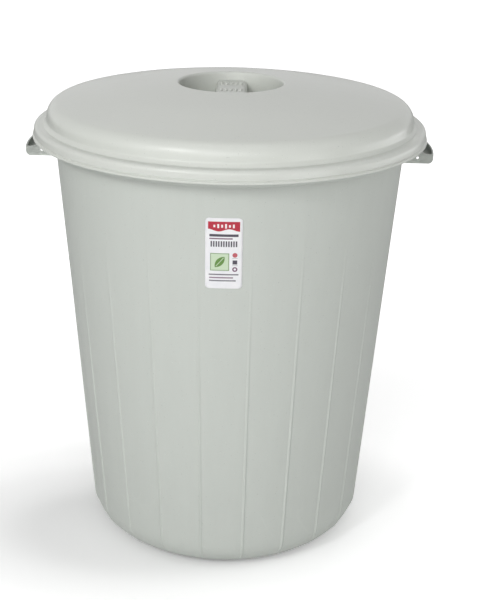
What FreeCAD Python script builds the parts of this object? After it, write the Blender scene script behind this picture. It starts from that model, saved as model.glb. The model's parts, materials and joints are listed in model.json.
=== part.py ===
import FreeCAD, Part
import math
import os

# A round household bin: a tapered tub with thin upright ribs, a turned-over rim,
# two loop handles and a label, and a domed lid with a grip bar across a sunk recess.
# Lengths are millimetres and angles are degrees. The floor is at zero, +Z is up
# and the tub's axis is the Z axis. The handles lie along X and the label faces -Y.

os.makedirs("parts", exist_ok=True)

# Tub wall and base
tub_height = 496.9
mouth_radius = 201.2
heel_radius = 162.2
wall_thickness = 2.4
corner_radius = 41.3
foot_ring_width = 18.0
foot_ring_height = 2.5
foot_step_round = 2.6

# Ribs that stand out of the wall and die away upwards
rib_pitch = 16.8
ribs_per_face = 10
rib_width = 3.4
rib_height = 1.2
rib_top_drop = 66.9
rib_fade_length = 290.0
rib_root = 0.8
rib_heel_angle = 62.0
rib_bulge_share = 0.6

# Rim, a flat shelf with a lip turned down
rim_overhang = 15.6
rim_thickness = 2.4
rim_shoulder_round = 1.6
rim_edge_round = 0.8
lip_depth = 16.3
lip_thickness = 2.2

# Loop handles under the rim
handle_stand_out = 16.4
handle_width = 65.0
handle_drop = 19.1
strap_height = 10.5
strap_width = 12.7
strap_thickness = 1.8
cheek_thickness = 2.4
cheek_inset = 1.6
cheek_toe = 5.2
cheek_sweep = 14.0
handle_corner_round = 5.5
tie_hole_radius = 1.6
tie_hole_inset = 19.9
tie_hole_rise = 6.4
handle_gap = 0.2

# Label on the wall
label_width = 39.0
label_height = 79.0
label_thickness = 0.2
label_gap = 0.2
label_centre_drop = 93.4
label_offset = -1.3
label_corner_round = 4.0

# Lid skirt, flat flange and the ledge at the dome's foot
lid_gap = 0.3
lid_wall = 2.0
skirt_play = 6.2
skirt_drop = 11.6
skirt_draft = 2.2
skirt_top_round = 2.6
flange_rise = 0.3
bead_height = 2.4
bead_depth = 1.1
bead_round = 0.8
ledge_inset = 5.6
ledge_step = 1.6
ledge_groove_width = 1.4
ledge_round = 0.6

# Lid dome
dome_foot_inset = 7.6
dome_foot_rise = 2.6
dome_foot_round = 9.0
dome_parting_rise = 3.8
dome_side_draft = 1.6
dome_shoulder_rise = 23.9
dome_shoulder_round = 17.0
crown_bend_inset = 80.1
crown_bend_drop = 4.8
crown_round = 780.0
lid_rise = 47.3

# Sunk recess with the grip bar across it
recess_radius = 59.6
recess_round = 3.0
recess_parting_drop = 7.0
recess_depth = 34.0
recess_draft = 4.6
recess_floor_round = 5.0
grip_width = 35.0
grip_drop = 10.0
grip_flare = 2.5
grip_round = 6.0
grip_gap = 0.2

# Length by which a cutting body runs past what it cuts
overrun = 5.0

# Ends of two runs that are nearer than this already meet
meeting_distance = 0.0001

# Radii that follow from the sizes above
rim_outer_radius = mouth_radius + rim_overhang
lip_inner_radius = rim_outer_radius - lip_thickness
handle_reach = rim_outer_radius + handle_stand_out
skirt_radius = rim_outer_radius + skirt_play + lid_wall
skirt_top_radius = skirt_radius - skirt_draft
ledge_edge_radius = rim_outer_radius - ledge_inset
groove_radius = ledge_edge_radius + ledge_groove_width
dome_foot_radius = rim_outer_radius - dome_foot_inset
dome_shoulder_radius = dome_foot_radius - dome_side_draft
crown_bend_radius = dome_shoulder_radius - crown_bend_inset
recess_floor_radius = recess_radius - recess_draft

# Heights that follow from the sizes above
shelf_underside = tub_height - rim_thickness
lip_bottom = tub_height - lip_depth
handle_bottom = lip_bottom - handle_drop
strap_top = handle_bottom + strap_height
seat = tub_height + lid_gap
skirt_bottom = tub_height - skirt_drop
groove_height = seat + lid_wall
ledge_edge_height = groove_height + ledge_step
dome_foot_height = ledge_edge_height + dome_foot_rise
dome_shoulder_height = seat + dome_shoulder_rise
dome_parting = dome_foot_height + dome_parting_rise
lid_top = tub_height + lid_rise
recess_floor = lid_top - recess_depth
recess_parting = lid_top - recess_parting_drop
grip_top = lid_top - grip_drop
rib_top = tub_height - rib_top_drop
label_centre_height = tub_height - label_centre_drop

# The wall's taper, and the round corner where it meets the floor
wall_slope = (mouth_radius - heel_radius) / shelf_underside
wall_lean = math.atan(wall_slope)
corner_reach = corner_radius / math.tan(math.pi / 4 + wall_lean / 2)
foot_radius = heel_radius - corner_reach
wall_start = corner_reach * math.cos(wall_lean)


def between(low, high, height):
    """Radius at a height on the straight line through two (radius, height) points."""
    return low[0] + (high[0] - low[0]) * (height - low[1]) / (high[1] - low[1])


def wall_radius(height):
    """Radius of the wall's outer face."""
    return heel_radius + wall_slope * height


def recess_radius_at(height):
    """Radius of the recess's side."""
    return between((recess_floor_radius, recess_floor), (recess_radius, lid_top), height)


def dome_side_radius_at(height):
    """Radius of the steep side between the dome's shoulder and its foot."""
    foot = (dome_foot_radius, dome_foot_height)
    return between(foot, (dome_shoulder_radius, dome_shoulder_height), height)


def shifted(start, end, distance):
    """A straight run moved to its right by a distance."""
    length = math.hypot(end[0] - start[0], end[1] - start[1])
    across = (end[1] - start[1]) / length * distance
    up = (start[0] - end[0]) / length * distance
    return (start[0] + across, start[1] + up), (end[0] + across, end[1] + up)


def crossing(run_a, run_b):
    """Point where two straight runs meet when they are made longer."""
    (ar, az), (br, bz) = run_a
    (cr, cz), (dr, dz) = run_b
    spread = (br - ar) * (dz - cz) - (bz - az) * (dr - cr)
    share = ((cr - ar) * (dz - cz) - (cz - az) * (dr - cr)) / spread
    return ar + share * (br - ar), az + share * (bz - az)


def end_line(corner, run, thickness):
    """Where a skin is trimmed: level across a steep run, upright across a flat one."""
    steep = abs(run[1][1] - run[0][1]) > abs(run[1][0] - run[0][0])
    if steep:
        return (corner[0], corner[1]), (corner[0] + thickness, corner[1])
    return (corner[0], corner[1]), (corner[0], corner[1] + thickness)


def skin(path, thickness):
    """Closed outline of a skin to the right of a path of (radius, height, rounding)."""
    runs = [shifted(start, end, thickness) for start, end in zip(path, path[1:])]
    back = [(*crossing(runs[0], end_line(path[0], runs[0], thickness)), 0)]
    for index in range(1, len(path) - 1):
        before, here, after = path[index - 1], path[index], path[index + 1]
        turn = (here[0] - before[0]) * (after[1] - here[1])
        turn -= (here[1] - before[1]) * (after[0] - here[0])
        rounding = here[2] + math.copysign(thickness, turn)
        back.append((*crossing(runs[index - 1], runs[index]), max(rounding, 0)))
    back.append((*crossing(runs[-1], end_line(path[-1], runs[-1], thickness)), 0))
    return list(path) + back[::-1]


def closed_face(corners):
    """Flat face in the XZ plane from corners of (across, up, rounding)."""
    places = [FreeCAD.Vector(across, 0, up) for across, up, rounding in corners]
    joints = []
    for index, here in enumerate(places):
        rounding = corners[index][2]
        if rounding == 0:
            joints.append((here, None, here))
            continue
        before = (places[index - 1] - here).normalize()
        after = (places[(index + 1) % len(places)] - here).normalize()
        half = before.getAngle(after) / 2
        trim = rounding / math.tan(half)
        middle = (before + after).normalize() * (rounding / math.sin(half) - rounding)
        joints.append((here + before * trim, here + middle, here + after * trim))
    edges = []
    for index, (first, middle, last) in enumerate(joints):
        if middle is not None:
            edges.append(Part.Arc(first, middle, last).toShape())
        following = joints[(index + 1) % len(joints)][0]
        if last.distanceToPoint(following) > meeting_distance:
            edges.append(Part.LineSegment(last, following).toShape())
    return Part.Face(Part.Wire(edges))


def turned(face):
    """A face in the XZ plane turned once round the Z axis."""
    return face.revolve(FreeCAD.Vector(0, 0, 0), FreeCAD.Vector(0, 0, 1), 360)


def slab(depth, width, bottom, top):
    """Block from the Z axis outwards along +X, centred on it across."""
    corner = FreeCAD.Vector(0, -width / 2, bottom)
    return Part.makeBox(depth, width, top - bottom, corner)


def turned_about_axis(shape, angle):
    """Copy of a shape turned about the Z axis."""
    copy = shape.copy()
    copy.rotate(FreeCAD.Vector(0, 0, 0), FreeCAD.Vector(0, 0, 1), angle)
    return copy


def rib_angles():
    """Directions of the ribs: even rows on the front and back, and one under each handle."""
    right, front, left, back = 0, -90, 180, 90
    first = -(ribs_per_face - 1) * rib_pitch / 2
    rows = [face + first + rib_pitch * index for face in (front, back) for index in range(ribs_per_face)]
    return rows + [right, left]


def with_ribs(shell, envelope, bottom, top):
    """A shell of the tub joined with its upright ribs, cut from a ring that has their profile."""
    blade = slab(wall_radius(top) + rib_height + overrun, rib_width, bottom, top)
    blades = Part.makeCompound([turned_about_axis(blade, angle) for angle in rib_angles()])
    return shell.fuse(envelope.common(blades)).removeSplitter()


def make_tub_wall():
    path = [(mouth_radius, shelf_underside, 0), (wall_radius(wall_start), wall_start, 0)]
    shell = turned(closed_face(skin(path, wall_thickness)))
    fade_start = rib_top - rib_fade_length
    ring = [
        (wall_radius(wall_start) - rib_root, wall_start, 0),
        (wall_radius(wall_start) + rib_height, wall_start, 0),
        (wall_radius(fade_start) + rib_height, fade_start, 0),
        (wall_radius(rib_top), rib_top, 0),
        (wall_radius(rib_top) - rib_root, rib_top, 0),
    ]
    return with_ribs(shell, turned(closed_face(ring)), wall_start, rib_top)


def heel_point(angle, stand_off):
    """Point of the round corner's section at an angle below level, moved outwards from its face."""
    reach = corner_radius + stand_off
    return FreeCAD.Vector(foot_radius + reach * math.cos(angle), 0, corner_radius - reach * math.sin(angle))


def make_tub_base():
    ring_inner = foot_radius - foot_ring_width
    path = [
        (wall_radius(wall_start), wall_start, 0),
        (heel_radius, 0, corner_radius),
        (ring_inner, 0, foot_step_round),
        (ring_inner - foot_ring_height, foot_ring_height, foot_step_round),
        (0, foot_ring_height, 0),
    ]
    shell = turned(closed_face(skin(path, wall_thickness)))
    rib_end = math.radians(rib_heel_angle)
    middle = (rib_end + wall_lean) / 2
    low = heel_point(rib_end, 0)
    low_root = heel_point(rib_end, -rib_root)
    top_root = FreeCAD.Vector(wall_radius(wall_start) - rib_root, 0, wall_start)
    top = top_root + FreeCAD.Vector(rib_root + rib_height, 0, 0)
    edges = [
        Part.LineSegment(top_root, top).toShape(),
        Part.Arc(top, heel_point(middle, rib_height * rib_bulge_share), low).toShape(),
        Part.LineSegment(low, low_root).toShape(),
        Part.Arc(low_root, heel_point(middle, -rib_root), top_root).toShape(),
    ]
    return with_ribs(shell, turned(Part.Face(Part.Wire(edges))), 0, wall_start)


def make_tub_rim():
    bore = mouth_radius - wall_thickness / math.cos(wall_lean)
    return turned(closed_face([
        (bore, shelf_underside, 0),
        (bore, tub_height, rim_edge_round),
        (rim_outer_radius, tub_height, rim_shoulder_round),
        (rim_outer_radius, lip_bottom, rim_edge_round),
        (lip_inner_radius, lip_bottom, 0),
        (lip_inner_radius, shelf_underside, 0),
    ]))


def handle_blank(width):
    """Handle on the +X side before its hand room is cut: the cheeks' side view, to a width."""
    block = turned(closed_face([
        (wall_radius(handle_bottom) + handle_gap, handle_bottom, 0),
        (mouth_radius + handle_gap, shelf_underside, 0),
        (lip_inner_radius - handle_gap, shelf_underside, 0),
        (lip_inner_radius - handle_gap, lip_bottom, 0),
        (rim_outer_radius - cheek_inset, lip_bottom, 0),
        (rim_outer_radius + cheek_toe, strap_top, cheek_sweep),
        (handle_reach, strap_top, 0),
        (handle_reach, handle_bottom, handle_corner_round),
    ]))
    return block.common(slab(handle_reach + overrun, width, handle_bottom - overrun, tub_height))


def make_cheeks():
    """The handle's two side plates, which fill the rim's channel, with a hole through each."""
    inside = handle_blank(handle_width - 2 * cheek_thickness)
    start = FreeCAD.Vector(
        handle_reach - tie_hole_inset,
        -handle_width / 2 - overrun,
        handle_bottom + tie_hole_rise,
    )
    length = handle_width + 2 * overrun
    hole = Part.makeCylinder(tie_hole_radius, length, start, FreeCAD.Vector(0, 1, 0))
    return handle_blank(handle_width).cut(inside).cut(hole)


def make_strap():
    """The handle's bar between the cheeks: a channel, open at the top, that follows the rim's curve."""
    inner = handle_reach - strap_width
    trough_floor = handle_bottom + strap_thickness
    channel = turned(closed_face([
        (inner, handle_bottom, 0),
        (inner, strap_top, 0),
        (inner + strap_thickness, strap_top, 0),
        (inner + strap_thickness, trough_floor, 0),
        (handle_reach - strap_thickness, trough_floor, handle_corner_round - strap_thickness),
        (handle_reach - strap_thickness, strap_top, 0),
        (handle_reach, strap_top, 0),
        (handle_reach, handle_bottom, handle_corner_round),
    ]))
    width = handle_width - 2 * cheek_thickness
    return channel.common(slab(handle_reach + overrun, width, handle_bottom - overrun, tub_height))


def make_label():
    upright = label_height * math.cos(wall_lean)
    low = label_centre_height - upright / 2
    high = label_centre_height + upright / 2
    inner = label_gap
    outer = label_gap + label_thickness
    film = turned(closed_face([
        (wall_radius(low) + inner, low, 0),
        (wall_radius(low) + outer, low, 0),
        (wall_radius(high) + outer, high, 0),
        (wall_radius(high) + inner, high, 0),
    ]))
    left = label_offset - label_width / 2
    right = label_offset + label_width / 2
    stencil = closed_face([
        (left, low, label_corner_round),
        (right, low, label_corner_round),
        (right, high, label_corner_round),
        (left, high, label_corner_round),
    ])
    return film.common(stencil.extrude(FreeCAD.Vector(0, -mouth_radius - overrun, 0)))


def make_lid_rim():
    bead_top = skirt_bottom + bead_height
    path = [
        (dome_side_radius_at(dome_parting), dome_parting, 0),
        (dome_foot_radius, dome_foot_height, dome_foot_round),
        (ledge_edge_radius, ledge_edge_height, ledge_round),
        (groove_radius, groove_height, ledge_round),
        (skirt_top_radius, groove_height + flange_rise, skirt_top_round),
        (skirt_radius - bead_depth, bead_top, bead_round),
        (skirt_radius, bead_top - bead_depth, bead_round),
        (skirt_radius, skirt_bottom, 0),
    ]
    return turned(closed_face(skin(path, lid_wall)))


def make_lid_dome():
    path = [
        (recess_radius_at(recess_parting), recess_parting, 0),
        (recess_radius, lid_top, recess_round),
        (crown_bend_radius, lid_top - crown_bend_drop, crown_round),
        (dome_shoulder_radius, dome_shoulder_height, dome_shoulder_round),
        (dome_side_radius_at(dome_parting), dome_parting, 0),
    ]
    return turned(closed_face(skin(path, lid_wall)))


def grip_prism(inset, bottom):
    """Arched bar section, drawn in from the outside by an inset, along the whole recess."""
    half = grip_width / 2 - inset
    top = grip_top - inset
    flare = grip_flare * (grip_top - bottom) / (grip_top - recess_floor)
    section = closed_face([
        (-half - flare, bottom, 0),
        (half + flare, bottom, 0),
        (half, top, grip_round - inset),
        (-half, top, grip_round - inset),
    ])
    section.translate(FreeCAD.Vector(0, -recess_radius, 0))
    return section.extrude(FreeCAD.Vector(0, 2 * recess_radius, 0))


def recess_room(gap):
    """The space inside the recess, kept clear of its round side by a gap."""
    return turned(closed_face([
        (0, recess_floor, 0),
        (recess_floor_radius - gap, recess_floor, recess_floor_round),
        (recess_radius - gap, lid_top, 0),
        (0, lid_top, 0),
    ]))


def make_lid_grip():
    bar = grip_prism(0, recess_floor).common(recess_room(grip_gap))
    hollow = grip_prism(lid_wall, recess_floor).common(recess_room(grip_gap + lid_wall))
    return bar.cut(hollow)


def make_lid_recess():
    """Round cup with a slot in its floor below the hollow bar."""
    path = [
        (0, recess_floor, 0),
        (recess_floor_radius, recess_floor, recess_floor_round),
        (recess_radius_at(recess_parting), recess_parting, 0),
    ]
    cup = turned(closed_face(skin(path, lid_wall)))
    slot_radius = recess_floor_radius - recess_floor_round
    slot_bottom = recess_floor - lid_wall - overrun
    start = FreeCAD.Vector(0, 0, slot_bottom)
    plug = Part.makeCylinder(slot_radius, recess_floor - slot_bottom, start)
    half = grip_width / 2 + grip_flare - lid_wall
    channel = Part.makeBox(2 * half, 2 * slot_radius, recess_floor - slot_bottom)
    channel.translate(FreeCAD.Vector(-half, -slot_radius, slot_bottom))
    return cup.cut(plug.common(channel))


cheeks_right = make_cheeks()
strap_right = make_strap()
nodes = {
    "tub_wall": make_tub_wall(),
    "tub_base": make_tub_base(),
    "tub_rim": make_tub_rim(),
    "handle_cheeks_right": cheeks_right,
    "handle_cheeks_left": turned_about_axis(cheeks_right, 180),
    "handle_strap_right": strap_right,
    "handle_strap_left": turned_about_axis(strap_right, 180),
    "label": make_label(),
    "lid_rim": make_lid_rim(),
    "lid_dome": make_lid_dome(),
    "lid_recess": make_lid_recess(),
    "lid_grip": make_lid_grip(),
}

for name, shape in nodes.items():
    shape.exportStep("parts/" + name + ".step")
    print(name, "solids", len(shape.Solids), "valid", shape.isValid(), "volume", round(shape.Volume))
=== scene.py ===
import json
import math

import bmesh
import bpy
from mathutils import Matrix, Vector


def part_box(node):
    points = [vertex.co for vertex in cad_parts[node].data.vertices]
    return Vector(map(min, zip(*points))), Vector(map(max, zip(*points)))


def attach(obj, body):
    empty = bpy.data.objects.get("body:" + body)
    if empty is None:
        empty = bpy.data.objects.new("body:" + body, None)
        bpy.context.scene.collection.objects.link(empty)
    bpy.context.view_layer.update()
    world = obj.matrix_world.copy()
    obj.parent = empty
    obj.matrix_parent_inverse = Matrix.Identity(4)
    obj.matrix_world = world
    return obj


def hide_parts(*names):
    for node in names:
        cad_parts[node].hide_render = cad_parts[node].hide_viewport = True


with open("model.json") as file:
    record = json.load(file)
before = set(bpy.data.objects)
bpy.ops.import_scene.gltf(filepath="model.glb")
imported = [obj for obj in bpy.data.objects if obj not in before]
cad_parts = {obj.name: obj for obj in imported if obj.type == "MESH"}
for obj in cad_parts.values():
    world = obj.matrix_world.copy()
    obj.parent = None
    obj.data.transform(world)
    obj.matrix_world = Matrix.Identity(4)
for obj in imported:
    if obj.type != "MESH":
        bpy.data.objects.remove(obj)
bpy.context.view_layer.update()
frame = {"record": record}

# Lengths are millimetres for meshes and print, and metres elsewhere unless a comment differs
MM = 0.001


def node_span(node, axis):
    """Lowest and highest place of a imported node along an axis, in millimetres."""
    return [round(corner["xyz".index(axis)] / MM, 3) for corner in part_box(node)]


# Tub wall, its round corner and the foot ring
MOUTH_RADIUS = node_span("tub_wall", "x")[1]
SHELF_UNDERSIDE = node_span("tub_wall", "z")[1]
HEEL_RADIUS = 162.2
WALL = 2.4
CORNER_RADIUS = 41.3
FOOT_RING_WIDTH = 18.0
FOOT_RING_HEIGHT = 2.5
FOOT_STEP_ROUND = 2.6
WALL_SLOPE = (MOUTH_RADIUS - HEEL_RADIUS) / SHELF_UNDERSIDE
WALL_LEAN = math.atan(WALL_SLOPE)
FOOT_RADIUS = HEEL_RADIUS - CORNER_RADIUS / math.tan(math.pi / 4 + WALL_LEAN / 2)
WALL_START = (HEEL_RADIUS - FOOT_RADIUS) * math.cos(WALL_LEAN)

# Ribs of the wall
RIB_PITCH = 16.8
RIBS_PER_FACE = 10
RIB_HALF_WIDTH = 2.2
RIB_HEIGHT = 1.2
RIB_FULL_TO = 140.0
RIB_TOP = 430.0
RIB_HEEL_ANGLE = math.radians(62)

# Rim with its turned-down lip
LIP_BOTTOM, TUB_HEIGHT = node_span("tub_rim", "z")
RIM_OUTER = node_span("tub_rim", "x")[1]
LIP_WALL = 2.2
LIP_INNER = RIM_OUTER - LIP_WALL
RIM_SHOULDER_ROUND = 1.6
RIM_EDGE_ROUND = 0.8
LIP_ROOT_ROUND = 1.0
LIP_EDGE_ROUND = 0.4

# Handles, each two cheeks with a tie hole and a channel bar between them
HANDLE_BOTTOM, BAR_TOP = node_span("handle_strap_right", "z")
HANDLE_REACH = node_span("handle_strap_right", "x")[1]
HANDLE_HALF_WIDTH = node_span("handle_cheeks_right", "y")[1]
HANDLE_ROUND = 5.5
HANDLE_EDGE_ROUND = 0.4
HANDLE_GAP = 0.2
BAR_HALF_LENGTH = node_span("handle_strap_right", "y")[1]
BAR_WIDTH = 12.7
BAR_WALL = 1.8
CHEEK_INSET = 1.6
CHEEK_TOE = 5.2
CHEEK_SWEEP = 14.0
CHEEK_BORDER = 1.3
CHEEK_SINK = 0.5
TIE_MOUNT = next(mount for mount in frame["record"]["mounts"] if mount["name"] == "tie_hole_right")
TIE_HOLE = [round(TIE_MOUNT["pos_m"][axis] / MM, 3) for axis in (0, 2)]
TIE_HOLE_RADIUS = TIE_MOUNT["dims"]["r_mm"]

# Lid skirt, flange and recess
LID_GAP = 0.3
LID_WALL = 2.0
FLANGE_TOP = TUB_HEIGHT + LID_GAP + LID_WALL
SKIRT_BOTTOM = node_span("lid_rim", "z")[0]
SKIRT_RADIUS = node_span("lid_rim", "x")[1]
SKIRT_EDGE_ROUND = 0.5
BEAD_TOP = SKIRT_BOTTOM + 2.4
RECESS_FLOOR, GRIP_TOP = node_span("lid_grip", "z")
RECESS_DEPTH = 34.0
LID_TOP = RECESS_FLOOR + RECESS_DEPTH
RECESS_RADIUS = 59.6
RECESS_FLOOR_RADIUS = 55.0
RECESS_ROUND = 3.0
RECESS_FLOOR_ROUND = 5.0

# Corners of the lid's outside as radius, rise and rounding. The rise is over the lid's top for the
# crown's bend, over the flange for the next five, and over the bead's top for the rest
CROWN_BEND = (127.5, -4.8, 780.0)
DOME_SHOULDER = (207.6, 21.9, 17.0)
DOME_FOOT = (209.2, 4.2, 4.0)
LEDGE = (211.2, 1.6, 0.6)
GROOVE = (212.6, 0.0, 0.6)
FLANGE_EDGE = (222.8, 0.3, 5.0)
BEAD_ROOT = (223.4, 0.0, 0.3)
BEAD_EDGE = (SKIRT_RADIUS, -0.4, 0.3)
CREASE = ((223.6, 1.6, 0.3), (222.8, 0.7, 0.3))

# Grip bar across the recess
GRIP_WIDTH = 35.0
GRIP_FLARE = 2.5
GRIP_ROUND = 6.0
GRIP_SINK = 0.5
GRIP_BITE = 0.3

# Raised lozenges on the grip bar, with each level as how far it is drawn in and how high it lies
STUD_WIDTH = 4.4
STUD_LENGTH = 5.2
STUD_LEVELS = ((0.0, -0.3), (0.0, 0.1), (1.2, 1.2))
STUD_EDGE_ROUND = 0.25
STUD_SPACING = 5.6
STUDS_IN_LINE = 5
STUD_LINE_GAP = 6.4
STUD_ROW_SPACING = 36.0

# Label sheet, with its two faces as distances from the wall
LABEL_LEFT, LABEL_RIGHT = node_span("label", "x")
LABEL_WIDTH = LABEL_RIGHT - LABEL_LEFT
LABEL_OFFSET = (LABEL_LEFT + LABEL_RIGHT) / 2
LABEL_MIDDLE = sum(node_span("label", "z")) / 2
LABEL_HEIGHT = 79.0
LABEL_CORNER = 4.0
LABEL_FACES = (0.22, 0.4)

# Fineness of the meshes
ARC_STEP = math.radians(9)
ON_AXIS = 1e-6
TUB_ROW_STEP = 22.0
RIB_SIDE_STEPS = 5
RIB_APRON_SHARE = 1.25
GAPS_BETWEEN_RIBS = 6
LID_ROW_STEP = 12.0
LID_COLUMNS = 288
GRIP_ROW_STEP = 4.0
GRIP_STATIONS = 40
BAR_STATIONS = 16
TIE_HOLE_SIDES = 24
LABEL_CORNER_STEPS = 8
LABEL_STEPS = 16

# Inks and papers of the label, as linear red, green and blue
HEADING_RED = (0.48, 0.025, 0.05)
STROKE_WHITE = (0.92, 0.88, 0.89)
LEAF_GREEN = (0.13, 0.27, 0.06)
PALE_GREEN = (0.6, 0.72, 0.53)
DARK_INK = (0.045, 0.035, 0.06)
PLUM_INK = (0.16, 0.05, 0.12)
PAPER_TONES = ((0.83, 0.83, 0.86), (0.89, 0.885, 0.9))

# Print on the label. Places are across and up from its middle, and sizes are width and height
PRINT_EDGE = 0.12
HEADING_PLACE = (0, 29.5)
HEADING_SIZE = (33, 12)
HEADING_FOOT = 26.0
WAVE_LENGTH = 22.0
WAVE_HEIGHT = 1.3
STROKE_HEIGHTS = (2.6, 4.4, 3.2, 5.0, 2.8, 4.0)
STROKE_WIDTH = 1.9
STROKE_PITCH = 4.0
STROKE_LEVEL = 30.6
TICK_PITCH = 2.6
TICK_WIDTH = 1.5
TICK_COUNT = 11
TICK_HEIGHT = 6.4
TICK_LEVEL = 10.8
LEAF_PANEL_PLACE = (-4.2, -9.4)
LEAF_PANEL_SIZE = 18.0
LEAF_PANEL_EDGE = 0.9
LEAF_LENGTH_SHARE = 0.86
LEAF_WIDTH_SHARE = 0.42
LEAF_LEAN = math.radians(50)
VEIN_WIDTH = 1.1
VEIN_LENGTH_SHARE = 0.8
SIDE_MARKS_PLACE = 11.6
SIDE_DISC_LEVEL = -1.6
SIDE_DISC_RADIUS = 2.6
SIDE_BLOCK_LEVEL = -9.6
SIDE_BLOCK_SIZE = (4.8, 4.6)
SIDE_RING_LEVEL = -17.6
SIDE_RING_RADIUS = 2.0
SIDE_RING_WIDTH = 1.4
SIDE_LINE_LEVELS = (-5.2, -13.2)
SIDE_LINE_SIZE = (5.6, 0.8)

# Printed rules as place, size, ink and strength
UPPER_RULES = (
    ((0, 20.3), (30, 2.8), DARK_INK, 0.95),
    ((-3, 16.7), (24, 1.5), PLUM_INK, 0.9),
)
LOWER_RULES = (
    ((0, -23.6), (31, 1.5), DARK_INK, 0.8),
    ((-2.6, -27.2), (25, 1.5), PLUM_INK, 0.8),
    ((-1.2, -30.6), (28, 1.5), DARK_INK, 0.8),
)

# Plastic finishes. Colours are linear red, green and blue, and the rubbed height is in metres
TUB_FINISH = {
    "colour": (0.57, 0.6, 0.561),
    "roughness": 0.4,
    "clouds": 0.03,
    "streaks": 0.05,
    "grain": 1.0,
    "rubbing": 0.8,
    "rubbed_height": 0.16,
    # The last two are shares of painted shade: on the handles past the rim, under the lid's skirt, and in
    # the lid's recess
    "painted_shade_past_rim": 0.42,
    "painted_shade_in_recess": 0.0,
}
LID_FINISH = {
    "colour": (0.63, 0.65, 0.608),
    "roughness": 0.3,
    "clouds": 0.03,
    "streaks": 0.015,
    "grain": 0.8,
    "rubbing": 0.5,
    "rubbed_height": 0.3,
    # The last two are shares of painted shade: on the handles past the rim, under the lid's skirt, and in
    # the lid's recess
    "painted_shade_past_rim": 0.0,
    "painted_shade_in_recess": 0.1,
}

# Darkening towards the floor, and how much stronger the painted contact shade is at the very foot
DARKENING_NEAR_FLOOR = 0.087
FOOT_SHADE_STRENGTH = 10.0

# Shades of the plastic's marks as shares of its own colour, and how strongly the marks cover it
CLOUD_SHADES = (0.9, 1.1)
CLOUD_CONTRAST = 5.0
DARK_FLECK_SHADE = 0.5
PALE_FLECK_SHADE = 1.25
FLECK_COVER = 0.35
RUB_LINE_SHADE = 1.22
RUB_LINE_COVER = 0.5
# Tone of the painted shade and of the darkening towards the floor
PAINTED_SHADE_TONE = 0.45

# Roughness that each kind of mark adds
RUBBED_ROUGHNESS = 0.12
RUB_LINE_ROUGHNESS = 0.15
CLOUD_ROUGHNESS = 1.5
# Roughness where the painted shade and the darkening towards the floor lie
DARKENED_PART_ROUGHNESS = 0.2

# Places where the painted shade and the darkening towards the floor begin and end, in metres up from the
# floor or out from the axis
FOOT_SHADE_HEIGHTS = (0.003, 0.008)
DARKER_LOW_HEIGHTS = (0.02, 0.22)
PAST_RIM_RADII = (0.2165, 0.219)
RECESS_RADII = (0.058, 0.061)
RECESS_HEIGHTS = (0.538, 0.5445)
BAR_RADII = (0.054, 0.056)
STUD_TOP_HEIGHTS = (0.5343, 0.535)

# Camera at the photograph's viewpoint, with pixels for its focal length and the image's height,
# and millimetres for its sensor
CAMERA_FOCAL_PIXELS = 1270.1
IMAGE_HEIGHT = 600
SENSOR_SIZE = 36
VIEW_REACH = 100
BIN_TURN = math.radians(1.1)
CAMERA_HEADING = 0.01856 - BIN_TURN
CAMERA_TILT = 0.36411
CAMERA_ROLL = 0.02132
CAMERA_PLACE = Vector((0.02758, -1.4364, 0.82642))

# Floor and room. To the camera the floor glows more away from a place, painted light that hides the bin's
# shadow away from that place, and each rise has a start and an end distance and a share
FLOOR_HALF_SIZE = 12
FLOOR_DROP = 0.0002
FLOOR_COLOUR = 0.8
FLOOR_SEEN = 1.0
FLOOR_ROUGHNESS = 0.9
FLOOR_GLOW = 0.07
FLOOR_GLOW_CENTRE = (-0.1, -0.07)
FLOOR_GLOW_DEPTH = 1.6
FLOOR_RISES = ((0.12, 0.22, 0.17), (0.2, 0.32, 0.16), (0.3, 0.5, 0.21), (0.8, 1.6, 0.35))
ROOM_LIGHT = 0.2
WHITE = (1, 1, 1, 1)

# Lamps as name, place, target, width and height in metres, and power in watts
LAMPS = (
    ("front_softbox", (-1.5, -2.4, 2.05), (0, 0, 0.3), 0.4, 0.5, 16),
    ("front_left", (-1.6, -2.4, 1.6), (0, 0, 0.3), 3.2, 2.4, 36),
    ("front_middle", (0.1, -2.8, 1.4), (0, 0, 0.3), 1.8, 1.4, 17),
    ("front_right", (2.0, -2.0, 0.3), (0, 0, 0.3), 1.4, 0.5, 8),
    ("overhead", (0, -0.8, 3.0), (0, 0, 0.3), 2.0, 1.6, 9),
    ("back_high", (0, 2.4, 2.6), (0, 0, 0.3), 2.4, 1.4, 4),
    ("right_low", (2.7, 0.6, 0.3), (0, 0, 0.1), 3.0, 0.5, 15),
)


def wall_radius(height):
    """Radius of the tub's outer face between its ribs."""
    return HEEL_RADIUS + WALL_SLOPE * height


def recess_radius(height):
    """Radius of the recess's side."""
    share = (height - RECESS_FLOOR) / (LID_TOP - RECESS_FLOOR)
    return RECESS_FLOOR_RADIUS + (RECESS_RADIUS - RECESS_FLOOR_RADIUS) * share


def shifted(start, end, distance):
    """A run of a section moved to its right."""
    length = math.hypot(end[0] - start[0], end[1] - start[1])
    across = (end[1] - start[1]) / length * distance
    up = (start[0] - end[0]) / length * distance
    return (start[0] + across, start[1] + up), (end[0] + across, end[1] + up)


def crossing(run_a, run_b):
    """Where two runs meet when made longer."""
    (ar, az), (br, bz) = run_a
    (cr, cz), (dr, dz) = run_b
    spread = (br - ar) * (dz - cz) - (bz - az) * (dr - cr)
    share = ((cr - ar) * (dz - cz) - (cz - az) * (dr - cr)) / spread
    return ar + share * (br - ar), az + share * (bz - az)


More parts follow.
